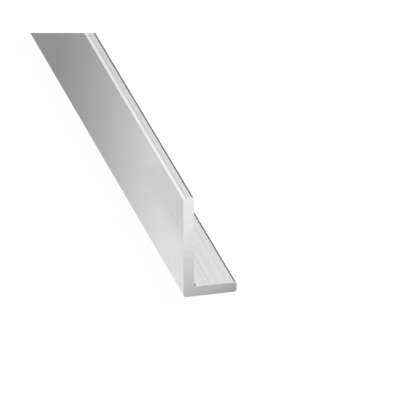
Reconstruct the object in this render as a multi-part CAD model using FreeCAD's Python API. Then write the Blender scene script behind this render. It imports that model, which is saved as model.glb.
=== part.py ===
import FreeCAD, Part
import math
import os

# Unequal angle section, 20 x 10 x 2 mm, extruded in aluminium and sawn square to a stock length of 1 m.
# It is one piece, and lies on its short leg with its long leg standing. X runs across it, from the heel to
# the toe of the short leg, Y runs along it and Z is up. The origin is at the bottom, at half of its width
# and half of its length.

# The section, in millimetres
LONG_LEG = 20.0  # standing leg, outside height
SHORT_LEG = 10.0  # lying leg, outside width
WALL = 2.0  # thickness of both legs
CORNER_RADIUS = 0.5  # the heel and the four corners of the toes, as the die rounds them
ROOT_RADIUS = 0.4  # fillet in the inner corner, where the legs meet

# The bar
BAR_LENGTH = 1000.0  # stock length, between two square saw cuts
END_CHAMFER = 0.05  # all round each saw cut, where the burr is taken off

# A toe is one wall thick and has two rounded corners, so neither may take half of it
LARGEST_CORNER = 0.49 * WALL
OUTER_RADIUS = min(CORNER_RADIUS, LARGEST_CORNER)

# The chamfer runs round the outer corners, so it stays inside their radius
LARGEST_CHAMFER = 0.9 * OUTER_RADIUS


def flat_point(x, z):
    """A point of the section, in the XZ plane."""
    return FreeCAD.Vector(x, 0, z)


def rounded_outline(corners):
    """A closed wire round corners of (x, z, radius), each one an arc tangent to its two sides."""
    points = [flat_point(x, z) for x, z, radius in corners]
    arc_starts = []
    arc_middles = []
    arc_ends = []
    for i, (x, z, radius) in enumerate(corners):
        corner = points[i]
        next_corner = points[(i + 1) % len(points)]
        to_last = (points[i - 1] - corner).normalize()
        to_next = (next_corner - corner).normalize()
        half_angle = to_last.getAngle(to_next) / 2
        tangent_length = radius / math.tan(half_angle)
        arc_depth = radius / math.sin(half_angle) - radius
        arc_starts.append(corner + to_last * tangent_length)
        arc_middles.append(corner + (to_last + to_next).normalize() * arc_depth)
        arc_ends.append(corner + to_next * tangent_length)

    edges = []
    for i in range(len(corners)):
        next_start = arc_starts[(i + 1) % len(corners)]
        edges.append(Part.Arc(arc_starts[i], arc_middles[i], arc_ends[i]).toShape())
        edges.append(Part.LineSegment(arc_ends[i], next_start).toShape())
    return Part.Wire(edges)


def angle_profile():
    """The L-shaped face of the section, with its heel at the lower left."""
    heel_x = -SHORT_LEG / 2
    toe_x = heel_x + SHORT_LEG
    inner_x = heel_x + WALL
    heel = (heel_x, 0, OUTER_RADIUS)
    short_toe_bottom = (toe_x, 0, OUTER_RADIUS)
    short_toe_top = (toe_x, WALL, OUTER_RADIUS)
    root = (inner_x, WALL, ROOT_RADIUS)
    long_toe_inside = (inner_x, LONG_LEG, OUTER_RADIUS)
    long_toe_outside = (heel_x, LONG_LEG, OUTER_RADIUS)
    outline = [heel, short_toe_bottom, short_toe_top, root, long_toe_inside, long_toe_outside]
    return Part.Face(rounded_outline(outline))


def deburred(sawn_bar):
    """The bar with a small chamfer round its two ends, whose edges are those that don't run its length."""
    end_edges = [edge for edge in sawn_bar.Edges if edge.BoundBox.YLength < BAR_LENGTH / 2]
    chamfered = sawn_bar.makeChamfer(min(END_CHAMFER, LARGEST_CHAMFER), end_edges)
    return chamfered.Solids[0]


def angle_section():
    """The whole bar: the profile, extruded from one saw cut to the other, with its ends deburred."""
    profile = angle_profile()
    profile.translate(FreeCAD.Vector(0, -BAR_LENGTH / 2, 0))
    return deburred(profile.extrude(FreeCAD.Vector(0, BAR_LENGTH, 0)))


os.makedirs("parts", exist_ok=True)
bar = angle_section()
bar.exportStep("parts/angle_section.step")
state = "valid" if bar.isValid() else "not valid"
print("angle_section:", bar.ShapeType, state, round(bar.Volume, 1), "mm3")
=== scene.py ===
import math

import bpy
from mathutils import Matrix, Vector


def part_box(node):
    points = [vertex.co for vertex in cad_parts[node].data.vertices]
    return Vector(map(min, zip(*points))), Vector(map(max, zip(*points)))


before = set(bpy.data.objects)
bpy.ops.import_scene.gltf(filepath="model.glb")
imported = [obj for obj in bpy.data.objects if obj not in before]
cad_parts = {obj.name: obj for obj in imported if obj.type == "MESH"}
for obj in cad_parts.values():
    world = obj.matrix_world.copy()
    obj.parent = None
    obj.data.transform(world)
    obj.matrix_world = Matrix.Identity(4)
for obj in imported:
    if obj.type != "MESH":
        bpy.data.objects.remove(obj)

# A bar of aluminium angle lies on a white floor, in even white light. Glowing grey cards round it, which
# only the
# metal mirrors, are painted reflections: they give its faces their greys and its rounded corners their
# bright and dark lines.

MM = 0.001

# The camera, as the photograph of 400 x 400 pixels was taken: from far off, with a long lens
PHOTO_SIDE = 400
FOCAL_LENGTH = 11316  # in pixels of the photograph
AZIMUTH = math.radians(-14.30)  # from straight in front of the near end, round towards the outer face
ELEVATION = math.radians(25.255)
DISTANCE = 2.061  # metres, from the heel at the near end
HEEL_PIXEL = (183.545, 297.445)  # where that heel is in the photograph
SENSOR_WIDTH = 36.0  # millimetres
CLIP_START = 0.1
CLIP_END = 500

# The white margin above the photograph's own upper edge
MARGIN_ROWS = 33
MARGIN_OVERLAP = 20  # rows and columns that its card reaches past the picture
MARGIN_DISTANCE = 0.15  # metres, of that card from the camera

# The metal
ALUMINIUM = (0.86, 0.863, 0.865)
ROUGHNESS = 0.18
ANISOTROPY = 0.5
ANISOTROPIC_TURN = 0.25  # a quarter turn, so that reflections spread across the lines, not along them
BUMP_HEIGHT = 0.004 * MM
DRAWN_WAY = (0, 1, 0)  # of the lines on the drawn faces
SAWN_WAY = (1, 0, 0)  # of the lines on the sawn ends

# How far a face turns each way for its finish, from where the finish starts to where it is full
SAWN_FACING = (0.75, 0.95)  # along the bar: the sawn ends
RIM_FACING = (0.2, 0.6)  # along the bar: the sawn ends and the edges round them
UP_FACING = (0.6, 0.9)
OUTER_FACING = (-0.9, -0.98)  # across the bar: the long leg's outer face

# The same for rounded corners, as how far they face across the bar times how far they face up
# These two corners get a painted highlight in the metal's colour
HIGHLIT_CORNER_SLANT = (-0.15, -0.45)  # the outer face's upper corner and the toe's lower one
SMOOTH_CORNER_SLANT = (0.15, 0.45)  # the other corners, and the root

# Noises: the width of their streaks, their length along the bar, and where in the noise they start
FINE_LINES = (0.22 * MM, 120 * MM, (3.1, 7.7, 1.3))
BROAD_LINES = (0.7 * MM, 260 * MM, (11.0, 2.5, 5.2))
CLOUDS = (6.0 * MM, 30 * MM, (4.0, 9.0, 2.0))
SCUFFS = (0.5 * MM, 2.5 * MM, (7.0, 3.0, 1.0))
FAINT_SCRATCHES = (0.5 * MM, 14 * MM, (2.2, 5.9, 0.7))
NICKS = (0.7 * MM, 1.5 * MM, (8.3, 4.1, 6.6))
MOTTLE = (0.9 * MM, 0.9 * MM, (5.0, 1.0, 3.0))
MEAN_NOISE = 0.5
LINE_DETAIL = 2.0
SPOT_DETAIL = 0.0
MOTTLE_DETAIL = 3.0

# Which values of a noise show as a mark, from where the mark starts to where it is full
SCRATCH_SHOWS = (0.70, 0.78)
NICK_SHOWS = (0.72, 0.8)
SAW_LINE_SHOWS = (0.62, 0.7)

# The faint scratches' slope to the bar
SCRATCH_SLOPE = math.radians(8)

# The one clear scratch, from and to (metres from the near end, metres up)
SCRATCH_START = Vector((3.4 * MM, 13.0 * MM))
SCRATCH_END = Vector((12.3 * MM, 12.6 * MM))
SCRATCH_HALF_WIDTH = 0.22 * MM
SCRATCH_BREAKS = (0.35, 0.55)  # values of the scuffs at which it is at its faintest, and whole
SCRATCH_STRENGTHS = (0.2, 1.0)  # what shows of it there

# The clearest die lines: metres from the heel, half width, and depth in bump heights
DIE_GROOVES = [
    (0.76 * MM, 0.38 * MM, 1.9),
    (1.12 * MM, 0.15 * MM, 1.2),
    (4.35 * MM, 0.16 * MM, 1.6),
    (5.3 * MM, 0.16 * MM, 1.8),
    (8.45 * MM, 0.2 * MM, 0.6),
]

# The saw's arcs: their middle, below the bar and to its left, and the width of one
SAW_CENTRE = Vector((-60 * MM, 0, -80 * MM))
SAW_ARC_WIDTH = 0.25 * MM

# How far each mark stands up or goes down, in bump heights
DRAWN_HEIGHTS = {"fine": 0.8, "broad": 3.0, "grooves": -1.0, "scratch": -0.3, "nick": -1.5}
SAWN_HEIGHTS = {"saw_arcs": 0.6, "mottle": 0.8}

# How much each mark lightens or darkens the metal, as a share of its colour
SHADES = {
    "fine": 0.05,
    "broad": 0.05,
    "cloud": 0.05,
    "scratch": -0.04,
    "clear": -0.2,
    "nick": 0.08,
    "grooves": -0.015,
    # A painted highlight along the outer face's upper corner and the toe's lower one
    "highlit_corner": 0.085,
    # Painted glints along the highlit corners, and wear
    "glints_and_wear": 0.3,
    "stained": 0.12,
    "saw_line": 0.04,
}
MEAN_SHADE = MEAN_NOISE * (SHADES["fine"] + SHADES["broad"] + SHADES["cloud"])

# How much each mark adds to the roughness
ROUGHENING = {"fine": 0.05, "broad": 0.05, "sawn": 0.03, "smooth_corner": -0.07}
MEAN_ROUGHENING = MEAN_NOISE * (ROUGHENING["fine"] + ROUGHENING["broad"])

# The floor and the light
WHITE = (1, 1, 1, 1)
PAPER = (0.8, 0.8, 0.8, 1)
AMBIENT = 0.6  # the strength of the white surroundings as they light the floor
PLAIN_FLOOR_SHARE = 0.97  # of plain white in the floor as the camera sees it; the rest shows the shadow
FLOOR_SIDE = 400.0
FLOOR_LEVEL = -0.06 * MM  # just under the bar, so that the two don't share a plane
OVERHEAD_PLACE = Vector((0.3, 0.6, 1.2))  # metres from the near end
OVERHEAD_SIZE = 1.0
OVERHEAD_WATTS = 4.5 * math.pi

# The glowing cards that the metal mirrors, whose greys are painted reflections. Their greys are pairs of
# (metres along the card's way, grey).
CARD_LEVEL = -0.04 * MM  # of the cards that lie on the floor
PATCH_LEVEL = -0.02 * MM  # of a card that lies on another

SIDE_CARD_WIDTH = 35 * MM
SIDE_CARD_WAY = Vector((3.0, 1, 0))
SIDE_CARD_GREYS = [
    (-160 * MM, 0.95),
    (-60 * MM, 0.96),
    (-20 * MM, 0.87),
    (0 * MM, 0.83),
    (10 * MM, 0.815),
    (20 * MM, 0.785),
    (40 * MM, 0.635),
    (60 * MM, 0.49),
    (80 * MM, 0.385),
    (100 * MM, 0.31),
    (300 * MM, 0.33),
]

LEFT_CARD_DISTANCE = 120 * MM
LEFT_CARD_EXTENSION = 0.7  # metres, past the bar's far end
LEFT_CARD_HEIGHT = 0.45
LEFT_CARD_WAY = Vector((0, 1, -1.27))
LEFT_CARD_GREYS = [
    (140 * MM, 1.0),
    (178 * MM, 1.0),
    (195 * MM, 0.94),
    (208 * MM, 0.85),
    (222 * MM, 0.79),
    (250 * MM, 0.75),
    (1.0, 0.75),
]

SIDE_PATCH_NEAR = 6 * MM  # from the heel
SIDE_PATCH_FAR = 12 * MM
SIDE_PATCH_LENGTH = 57 * MM
SIDE_PATCH_GREYS = [(SIDE_PATCH_NEAR, 0.67), (8 * MM, 0.65), (SIDE_PATCH_FAR, 0.6)]

FRONT_CARD_LEFT = 45 * MM  # past the heel
FRONT_CARD_RIGHT = 25 * MM  # past the toe
FRONT_CARD_DEPTH = 60 * MM
FRONT_CARD_WAY = Vector((-0.3367, -0.5632, 0))
FRONT_CARD_GREYS = [
    (-6 * MM, 0.25),
    (-2 * MM, 0.43),
    (0, 0.53),
    (2 * MM, 0.59),
    (6 * MM, 0.68),
    (10 * MM, 0.8),
    (12 * MM, 0.87),
    (13.5 * MM, 0.97),
    (20 * MM, 1.0),
]

END_CARD_NEAR = 100 * MM  # from the near end, where the far card in front starts
END_CARD_FAR = 400 * MM
END_CARD_HALF_WIDTH = 150 * MM
END_GREY = 0.6
BACK_CARD_GREYS = [(0, 0.45), (15 * MM, 0.7), (40 * MM, 0.9), (END_CARD_NEAR, END_GREY), (1.0, END_GREY)]

TOE_CARD_WIDTH = 4 * MM
# The toe card is a painted shadow beside the toe
TOE_CARD_GREYS = [(0, 0.25), (TOE_CARD_WIDTH, 0.4)]

RIGHT_CARD_WIDTH = 110 * MM
RIGHT_CARD_WAY = Vector((-0.4, 1, 0))
RIGHT_CARD_GREYS = [(-5 * MM, 0.95), (0, 0.8), (20 * MM, 0.5), (50 * MM, 0.33), (1.0, 0.33)]

CONTACT_INSET = 0.3 * MM  # from the bar's two sides
CONTACT_END_INSET = 0.05 * MM
# The grey of the painted shadow under the bar
CONTACT_GREY = 0.15

# The cards far behind the bar, as its near end sees them: azimuths are from straight behind, to the right
STANDING_DISTANCE = 6.0
FLAG_AZIMUTH = math.radians(21)
FLAG_HALF_WIDTH = math.radians(11)
FLAG_TOP = math.radians(23.45)
FLAG_GREY = 0.05
BACKDROP_AZIMUTH = math.radians(-1)
BACKDROP_HALF_WIDTH = math.radians(8)
BACKDROP_BOTTOM = math.radians(15)
BACKDROP_TOP = math.radians(40)
BACKDROP_GREY = 0.78

# The bar
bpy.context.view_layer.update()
bar_low, bar_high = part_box("angle_section")
heel_x, toe_x = bar_low.x, bar_high.x
near_y, far_y = bar_low.y, bar_high.y
near_end = Vector((0, near_y, 0))
near_heel = Vector((heel_x, near_y, 0))
near_toe = Vector((toe_x, near_y, 0))


def add_node(tree, kind, inputs=None, **settings):
    """A new shader node with some settings, and values or links for its input sockets."""
    node = tree.nodes.new(kind)
    for name, value in settings.items():
        setattr(node, name, value)
    for name, value in (inputs or {}).items():
        if isinstance(value, bpy.types.NodeSocket):
            tree.links.new(value, node.inputs[name])
        else:
            node.inputs[name].default_value = value
    return node


def math_node(tree, operation, a, b=0.0):
    """The result of a Math node."""
    return add_node(tree, "ShaderNodeMath", {0: a, 1: b}, operation=operation).outputs[0]


def vector_node(tree, operation, a, b):
    """The resulting vector of a Vector Math node."""
    return add_node(tree, "ShaderNodeVectorMath", {0: a, 1: b}, operation=operation).outputs[0]


def weighted_sum(tree, terms):
    """The sum of (socket, weight) pairs."""
    total = 0.0
    for socket, weight in terms:
        total = math_node(tree, "ADD", math_node(tree, "MULTIPLY", socket, weight), total)
    return total


def sum_by_name(tree, marks, weights):
    """The sum of the marks that have a weight."""
    return weighted_sum(tree, [(marks[name], weight) for name, weight in weights.items()])


def eased(tree, value, limits, results=(0.0, 1.0)):
    """The value, eased from its two limits to two results and held at them."""
    inputs = {
        "Value": value,
        "From Min": limits[0],
        "From Max": limits[1],
        "To Min": results[0],
        "To Max": results[1],
    }
    return add_node(tree, "ShaderNodeMapRange", inputs, interpolation_type="SMOOTHSTEP").outputs["Result"]


def faded_out(tree, value, start, end):
    """1 up to the start, and eased to 0 at the end."""
    return eased(tree, value, (start, end), (1.0, 0.0))


def empty_material(name):
    """A material with only an output node, and its tree."""
    material = bpy.data.materials.new(name)
    material.use_nodes = True
    material.node_tree.nodes.clear()
    output = material.node_tree.nodes.new("ShaderNodeOutputMaterial")
    return material, material.node_tree, output


def drawn_noise(tree, place, across, along, shift, detail):
    """Noise from 0 to 1 in streaks along Y, of a width across them and a length along them in metres."""
    grain = Vector((1 / across, 1 / along, 1 / across))
    moved = vector_node(tree, "ADD", vector_node(tree, "MULTIPLY", place, grain), shift)
    inputs = {"Vector": moved, "Scale": 1.0, "Detail": detail}
    return add_node(tree, "ShaderNodeTexNoise", inputs).outputs["Fac"]


def face_masks(tree, normal):
    """Masks from 0 to 1 of the finishes that depend on which way a face looks."""
    x, y, z = add_node(tree, "ShaderNodeSeparateXYZ", {0: normal}).outputs
    facing_end = math_node(tree, "ABSOLUTE", y)
    slant = math_node(tree, "MULTIPLY", x, z)
    return {
        "sawn": eased(tree, facing_end, SAWN_FACING),
        "end_or_rim": eased(tree, facing_end, RIM_FACING),
        "up": eased(tree, z, UP_FACING),
        "outer": eased(tree, x, OUTER_FACING),
        # The corners that get a painted highlight
        "highlit_corner": eased(tree, slant, HIGHLIT_CORNER_SLANT),
        "smooth_corner": eased(tree, slant, SMOOTH_CORNER_SLANT),
    }


def die_groove(tree, x, offset, half_width):
    """A line that the die leaves along the bar, from 0 beside it to 1 at its deepest."""
    away = math_node(tree, "ABSOLUTE", math_node(tree, "SUBTRACT", x, heel_x + offset))
    return faded_out(tree, away, 0.0, half_width)


def clear_scratch(tree, y, z, outer, scuff):
    """The one clear scratch on the outer face, near the sawn end."""
    length = (SCRATCH_END - SCRATCH_START).length
    way = (SCRATCH_END - SCRATCH_START) / length
    from_y = math_node(tree, "SUBTRACT", y, near_y + SCRATCH_START.x)
    from_z = math_node(tree, "SUBTRACT", z, SCRATCH_START.y)
    along = weighted_sum(tree, [(from_y, way.x), (from_z, way.y)])
    across = weighted_sum(tree, [(from_y, -way.y), (from_z, way.x)])
    off_middle = math_node(tree, "ABSOLUTE", math_node(tree, "SUBTRACT", along, length / 2))
    middle = faded_out(tree, off_middle, length / 4, length / 2)
    line = faded_out(tree, math_node(tree, "ABSOLUTE", across), 0.0, SCRATCH_HALF_WIDTH)
    broken = eased(tree, scuff, SCRATCH_BREAKS, SCRATCH_STRENGTHS)
    shown = math_node(tree, "MULTIPLY", math_node(tree, "MULTIPLY", middle, broken), outer)
    return math_node(tree, "MULTIPLY", line, shown)


def faint_scratches(tree, place):
    """Faint scratches from handling, short and slightly inclined to the bar."""
    rotation = (SCRATCH_SLOPE, 0, SCRATCH_SLOPE)
    turned = add_node(tree, "ShaderNodeMapping", {"Vector": place, "Rotation": rotation}).outputs[0]
    return eased(tree, drawn_noise(tree, turned, *FAINT_SCRATCHES, SPOT_DETAIL), SCRATCH_SHOWS)


def nicks(tree, place, outer):
    """A few small nicks from handling, on the outer face."""
    spots = eased(tree, drawn_noise(tree, place, *NICKS, SPOT_DETAIL), NICK_SHOWS)
    return math_node(tree, "MULTIPLY", spots, outer)


def drawn_marks(tree, place, x, y, z, masks):
    """What the die leaves on the drawn faces, what handling adds to it, and painted glints along the
    highlit corners.
    """
    scuff = drawn_noise(tree, place, *SCUFFS, LINE_DETAIL)
    clear = clear_scratch(tree, y, z, masks["outer"], scuff)
    # Uneven brightness along the highlit corners: painted glints, and wear
    uneven_glints_and_wear = math_node(tree, "SUBTRACT", scuff, MEAN_NOISE)
    die_lines = []
    for offset, half_width, depth in DIE_GROOVES:
        die_lines.append((die_groove(tree, x, offset, half_width), depth))
    return {
        "fine": drawn_noise(tree, place, *FINE_LINES, LINE_DETAIL),
        "broad": drawn_noise(tree, place, *BROAD_LINES, LINE_DETAIL),
        "cloud": drawn_noise(tree, place, *CLOUDS, LINE_DETAIL),
        "clear": clear,
        "scratch": math_node(tree, "MAXIMUM", faint_scratches(tree, place), clear),
        "nick": nicks(tree, place, masks["outer"]),
        "grooves": math_node(tree, "MULTIPLY", weighted_sum(tree, die_lines), masks["up"]),
        # Painted glints and wear along the highlit corners
        "glints_and_wear": math_node(tree, "MULTIPLY", masks["highlit_corner"], uneven_glints_and_wear),
    }


def sawn_marks(tree, place, x, z, sawn):
    """What the saw leaves on the two ends: arcs, the clearest of them, and a mottle that stains them."""
    flat = add_node(tree, "ShaderNodeCombineXYZ", {"X": x, "Z": z}).outputs[0]
    from_centre = add_node(tree, "ShaderNodeVectorMath", {0: flat, 1: SAW_CENTRE}, operation="DISTANCE")
    arcs = add_node(
        tree,
        "ShaderNodeTexNoise",
        {"W": from_centre.outputs["Value"], "Scale": 1 / SAW_ARC_WIDTH, "Detail": LINE_DETAIL},
        noise_dimensions="1D",
    ).outputs["Fac"]
    mottle = drawn_noise(tree, place, *MOTTLE, MOTTLE_DETAIL)
    return {
        "saw_arcs": arcs,
        "saw_line": math_node(tree, "MULTIPLY", eased(tree, arcs, SAW_LINE_SHOWS), sawn),
        "mottle": mottle,
        "stained": math_node(tree, "MULTIPLY", sawn, math_node(tree, "SUBTRACT", mottle, MEAN_NOISE)),
    }


def mill_aluminium():
    """Extruded aluminium: drawn lines along it from the die, fine saw marks on its two ends, and a painted
    highlight along two corners.
    """
    material, tree, output = empty_material("mill_aluminium")
    coordinates = add_node(tree, "ShaderNodeTexCoord").outputs
    place = coordinates["Object"]
    x, y, z = add_node(tree, "ShaderNodeSeparateXYZ", {0: place}).outputs
    masks = face_masks(tree, coordinates["Normal"])
    drawn = drawn_marks(tree, place, x, y, z, masks)
    sawn = sawn_marks(tree, place, x, z, masks["sawn"])
    marks = {**masks, **drawn, **sawn}

    # A Mix node takes its factor at socket 0, numbers at 2 and 3, and vectors at 4 and 5
    drawn_height = sum_by_name(tree, marks, DRAWN_HEIGHTS)
    sawn_height = sum_by_name(tree, marks, SAWN_HEIGHTS)
    heights = {0: masks["end_or_rim"], 2: drawn_height, 3: sawn_height}
    height = add_node(tree, "ShaderNodeMix", heights).outputs[0]
    bump = add_node(tree, "ShaderNodeBump", {"Height": height, "Distance": BUMP_HEIGHT, "Strength": 1.0})

    # The colour carries the marks, and a painted highlight with painted glints along two corners
    brightness = math_node(tree, "ADD", sum_by_name(tree, marks, SHADES), 1.0 - MEAN_SHADE)
    shaded = {0: ALUMINIUM, "Scale": brightness}
    colour = add_node(tree, "ShaderNodeVectorMath", shaded, operation="SCALE").outputs[0]
    roughened = sum_by_name(tree, marks, ROUGHENING)
    roughness = math_node(tree, "ADD", roughened, ROUGHNESS - MEAN_ROUGHENING)

    ways = {0: masks["sawn"], 4: DRAWN_WAY, 5: SAWN_WAY}
    tangent = add_node(tree, "ShaderNodeMix", ways, data_type="VECTOR").outputs[1]
    metal = add_node(
        tree,
        "ShaderNodeBsdfPrincipled",
        {
            "Base Color": colour,
            "Metallic": 1.0,
            "Roughness": roughness,
            "Anisotropic": ANISOTROPY,
            "Anisotropic Rotation": ANISOTROPIC_TURN,
            "Tangent": tangent,
            "Normal": bump.outputs[0],
        },
    )
    tree.links.new(metal.outputs["BSDF"], output.inputs["Surface"])
    return material


def stage_sheet(name, corners, material):
    """A flat sheet that isn't part of the object. Its material isn't sampled as a lamp."""
    material.cycles.emission_sampling = "NONE"
    mesh = bpy.data.meshes.new(name)
    mesh.from_pydata(corners, [], [tuple(range(len(corners)))])
    mesh.materials.append(material)
    sheet = bpy.data.objects.new(name, mesh)
    bpy.context.scene.collection.objects.link(sheet)
    return sheet


def limit_rays(sheet, camera, glossy):
    """Show a sheet to the camera or to mirrors only, so that it neither lights nor shades the rest."""
    sheet.visible_camera = camera
    sheet.visible_glossy = glossy
    sheet.visible_diffuse = False
    sheet.visible_transmission = False
    sheet.visible_shadow = False


def glow(tree, colour):
    """A glow of a colour, the same from all sides."""
    return add_node(tree, "ShaderNodeEmission", {"Color": colour, "Strength": 1.0}).outputs[0]


def plain_white_share(tree, camera_share):
    """How much of a background is plain white: all of it in mirrors, and a share of it seen directly."""
    rays = add_node(tree, "ShaderNodeLightPath").outputs
    seen = math_node(tree, "MAXIMUM", rays["Is Camera Ray"], rays["Is Transmission Ray"])
    seen_share = math_node(tree, "MULTIPLY", seen, camera_share)
    return math_node(tree, "MAXIMUM", seen_share, rays["Is Glossy Ray"])


def white_floor():
    """A wide white floor, which keeps a faint shadow of the bar."""
    material, tree, output = empty_material("floor_white")
    paper = add_node(tree, "ShaderNodeBsdfDiffuse", {"Color": PAPER}).outputs[0]
    mixed = {0: plain_white_share(tree, PLAIN_FLOOR_SHARE), 1: paper, 2: glow(tree, WHITE)}
    mix = add_node(tree, "ShaderNodeMixShader", mixed)
    tree.links.new(mix.outputs[0], output.inputs["Surface"])
    half = FLOOR_SIDE / 2
    corners = [(-half, -half, 0), (half, -half, 0), (half, half, 0), (-half, half, 0)]
    stage_sheet("floor", corners, material).location.z = FLOOR_LEVEL


def white_world():
    """White surroundings, whose light on the floor is weaker than the white that is seen."""
    world = bpy.data.worlds.new("studio")
    world.use_nodes = True
    tree = world.node_tree
    tree.nodes.clear()
    output = tree.nodes.new("ShaderNodeOutputWorld")
    ambient = add_node(tree, "ShaderNodeBackground", {"Color": WHITE, "Strength": AMBIENT}).outputs[0]
    backdrop = add_node(tree, "ShaderNodeBackground", {"Color": WHITE, "Strength": 1.0}).outputs[0]
    mix = add_node(tree, "ShaderNodeMixShader", {0: plain_white_share(tree, 1.0), 1: ambient, 2: backdrop})
    tree.links.new(mix.outputs[0], output.inputs["Surface"])
    world.cycles.sampling_method = "NONE"
    bpy.context.scene.world = world


def overhead_lamp():
    """A large soft lamp, which lights the floor. The metal doesn't mirror it."""
    lamp = bpy.data.lights.new("overhead", "AREA")
    lamp.shape = "SQUARE"
    lamp.size = OVERHEAD_SIZE
    lamp.energy = OVERHEAD_WATTS
    lamp_object = bpy.data.objects.new("overhead", lamp)
    place = near_end + OVERHEAD_PLACE
    lamp_object.location = place
    lamp_object.rotation_euler = (near_end - place).to_track_quat("-Z", "Y").to_euler()
    lamp_object.visible_glossy = False
    bpy.context.scene.collection.objects.link(lamp_object)


def mirrored_card(name, corners, start, way, greys):
    """A glowing sheet of painted greys that only the metal mirrors, as a painted reflection, with its
    greys read along a way from a start.
    """
    material, tree, output = empty_material(name)
    place = add_node(tree, "ShaderNodeNewGeometry").outputs["Position"]
    offset = vector_node(tree, "SUBTRACT", place, start)
    distance = add_node(tree, "ShaderNodeVectorMath", {0: offset, 1: way}, operation="DOT_PRODUCT")
    first, last = greys[0][0], greys[-1][0]
    span = {"Value": distance.outputs["Value"], "From Min": first, "From Max": last}
    share = add_node(tree, "ShaderNodeMapRange", span).outputs["Result"]
    ramp = add_node(tree, "ShaderNodeValToRGB", {0: share})
    stops = ramp.color_ramp.elements
    while len(stops) < len(greys):
        stops.new(0.5)
    for stop, (metres, grey) in zip(stops, greys):
        stop.position = (metres - first) / (last - first)
        stop.color = (grey, grey, grey, 1)
    tree.links.new(glow(tree, ramp.outputs["Color"]), output.inputs["Surface"])
    limit_rays(stage_sheet(name, corners, material), camera=False, glossy=True)


def even_grey(grey):
    """The greys of a card that is the same all over."""
    return [(0, grey), (1.0, grey)]


def floor_rectangle(low_x, high_x, low_y, high_y, level=CARD_LEVEL):
    """The corners of a level rectangle."""
    return [(low_x, low_y, level), (high_x, low_y, level), (high_x, high_y, level), (low_x, high_y, level)]


def outer_face_cards():
    """The cards at the left of the bar, for its outer face and its bright upper corner."""
    # Its greys darken away from the near end: a painted falloff of light, which the outer face mirrors
    floor_at_left = floor_rectangle(heel_x - SIDE_CARD_WIDTH, heel_x, near_y, far_y)
    mirrored_card("side_card", floor_at_left, near_heel, SIDE_CARD_WAY, SIDE_CARD_GREYS)

    # It stands beside the bar, and the bright upper corner mirrors it. Its greys dim along the bar: a
    # painted falloff of light in that corner's bright line.
    left_x = heel_x - LEFT_CARD_DISTANCE
    left_far_y = far_y + LEFT_CARD_EXTENSION
    standing = [
        (left_x, near_y, 0),
        (left_x, left_far_y, 0),
        (left_x, left_far_y, LEFT_CARD_HEIGHT),
        (left_x, near_y, LEFT_CARD_HEIGHT),
    ]
    mirrored_card("left_card", standing, near_end, LEFT_CARD_WAY, LEFT_CARD_GREYS)

    # It lies on the side card, and darkens a part of the outer face near the sawn end
    low_x, high_x = heel_x - SIDE_PATCH_FAR, heel_x - SIDE_PATCH_NEAR
    patch = floor_rectangle(low_x, high_x, near_y, near_y + SIDE_PATCH_LENGTH, PATCH_LEVEL)
    mirrored_card("side_patch", patch, near_heel, Vector((-1, 0, 0)), SIDE_PATCH_GREYS)


def end_cards():
    """The cards in front of the bar and behind it, which its two sawn ends mirror."""
    # Its greys are darkest at the foot of the near end and lighten away from it: a painted shadow of the
    # bar, which the sawn end mirrors
    low_x, high_x = heel_x - FRONT_CARD_LEFT, toe_x + FRONT_CARD_RIGHT
    front = floor_rectangle(low_x, high_x, near_y - FRONT_CARD_DEPTH, near_y)
    mirrored_card("front_card", front, near_heel, FRONT_CARD_WAY, FRONT_CARD_GREYS)

    # These two darken the ends a little in low views along the bar
    half_width = END_CARD_HALF_WIDTH
    front_far = floor_rectangle(-half_width, half_width, near_y - END_CARD_FAR, near_y - END_CARD_NEAR)
    mirrored_card("front_far_card", front_far, near_end, Vector((0, -1, 0)), even_grey(END_GREY))
    # Its greys are darkest at the foot of the far end: a painted shadow of the bar, which that end mirrors
    back = floor_rectangle(-half_width, half_width, far_y, far_y + END_CARD_FAR)
    mirrored_card("back_card", back, Vector((0, far_y, 0)), Vector((0, 1, 0)), BACK_CARD_GREYS)


def right_cards():
    """The cards at the right, which darken the bar's top and the thin lines along its right corners."""
    # A dark strip beside the toe: a painted shadow, which the toe's corners mirror
    at_toe = floor_rectangle(toe_x, toe_x + TOE_CARD_WIDTH, near_y, far_y, PATCH_LEVEL)
    mirrored_card("toe_card", at_toe, near_toe, Vector((1, 0, 0)), TOE_CARD_GREYS)
    at_right = floor_rectangle(toe_x, toe_x + RIGHT_CARD_WIDTH, near_y, far_y)
    mirrored_card("right_card", at_right, near_toe, RIGHT_CARD_WAY, RIGHT_CARD_GREYS)


def contact_card():
    """A dark sheet in the gap under the bar, a painted shadow, which its lower edges mirror."""
    low_x, high_x = heel_x + CONTACT_INSET, toe_x - CONTACT_INSET
    under = floor_rectangle(low_x, high_x, near_y + CONTACT_END_INSET, far_y - CONTACT_END_INSET)
    mirrored_card("contact_card", under, near_heel, Vector((0, 1, 0)), even_grey(CONTACT_GREY))


def standing_card(name, azimuth, half_width, bottom, top, grey):
    """A card far behind the bar, between two elevations as the near end sees it."""
    way = Vector((math.sin(azimuth), math.cos(azimuth), 0))
    side = Vector((way.y, -way.x, 0)) * STANDING_DISTANCE * math.tan(half_width)
    low = near_end + way * STANDING_DISTANCE + Vector((0, 0, STANDING_DISTANCE * math.tan(bottom)))
    high = near_end + way * STANDING_DISTANCE + Vector((0, 0, STANDING_DISTANCE * math.tan(top)))
    corners = [low - side, low + side, high + side, high - side]
    mirrored_card(name, corners, near_end, Vector((0, 0, 1)), even_grey(grey))


def far_cards():
    """The dark flag makes the faces that look up grey, and the backdrop dims the bright upper corner."""
    standing_card("dark_flag", FLAG_AZIMUTH, FLAG_HALF_WIDTH, 0.0, FLAG_TOP, FLAG_GREY)
    standing_card(
        "grey_backdrop",
        BACKDROP_AZIMUTH,
        BACKDROP_HALF_WIDTH,
        BACKDROP_BOTTOM,
        BACKDROP_TOP,
        BACKDROP_GREY,
    )


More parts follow.
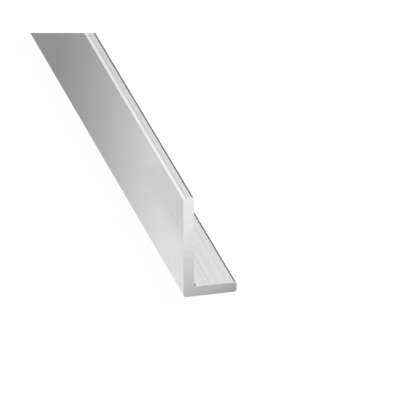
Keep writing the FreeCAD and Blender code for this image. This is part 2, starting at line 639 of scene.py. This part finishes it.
def photo_camera():
    """The camera, turned to the photograph's angle and set so that the near heel is at its pixel."""
    camera = bpy.data.cameras.new("photo_camera")
    camera.sensor_width = SENSOR_WIDTH
    camera.lens = FOCAL_LENGTH * SENSOR_WIDTH / PHOTO_SIDE
    camera.clip_start = CLIP_START
    camera.clip_end = CLIP_END
    back_x = math.sin(AZIMUTH) * math.cos(ELEVATION)
    back_y = -math.cos(AZIMUTH) * math.cos(ELEVATION)
    back = Vector((back_x, back_y, math.sin(ELEVATION)))
    turn = (-back).to_track_quat("-Z", "Y")
    right = turn @ Vector((1, 0, 0))
    up = turn @ Vector((0, 1, 0))
    metres_a_pixel = DISTANCE / FOCAL_LENGTH
    across = (HEEL_PIXEL[0] - PHOTO_SIDE / 2) * metres_a_pixel
    down = (HEEL_PIXEL[1] - PHOTO_SIDE / 2) * metres_a_pixel
    camera_object = bpy.data.objects.new("photo_camera", camera)
    camera_object.location = Vector(bar_low) + back * DISTANCE - right * across + up * down
    camera_object.rotation_euler = turn.to_euler()
    bpy.context.scene.collection.objects.link(camera_object)
    bpy.context.scene.camera = camera_object
    return camera_object, turn


def photo_margin(camera_object, turn):
    """A small white card close to the camera, which covers the rows above the photograph's upper edge."""
    metres_a_pixel = MARGIN_DISTANCE / FOCAL_LENGTH
    half_width = (PHOTO_SIDE / 2 + MARGIN_OVERLAP) * metres_a_pixel
    low = (PHOTO_SIDE / 2 - MARGIN_ROWS) * metres_a_pixel
    high = (PHOTO_SIDE / 2 + MARGIN_OVERLAP) * metres_a_pixel
    corners = []
    for across, up in [(-half_width, low), (half_width, low), (half_width, high), (-half_width, high)]:
        corners.append(camera_object.location + turn @ Vector((across, up, -MARGIN_DISTANCE)))
    material, tree, output = empty_material("margin_white")
    tree.links.new(glow(tree, WHITE), output.inputs["Surface"])
    limit_rays(stage_sheet("photo_margin", corners, material), camera=True, glossy=False)


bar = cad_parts["angle_section"]
bar.material_slots[0].material = mill_aluminium()
white_floor()
white_world()
overhead_lamp()
outer_face_cards()
end_cards()
right_cards()
contact_card()
far_cards()
photo_margin(*photo_camera())
bpy.context.scene.view_settings.view_transform = "Standard"
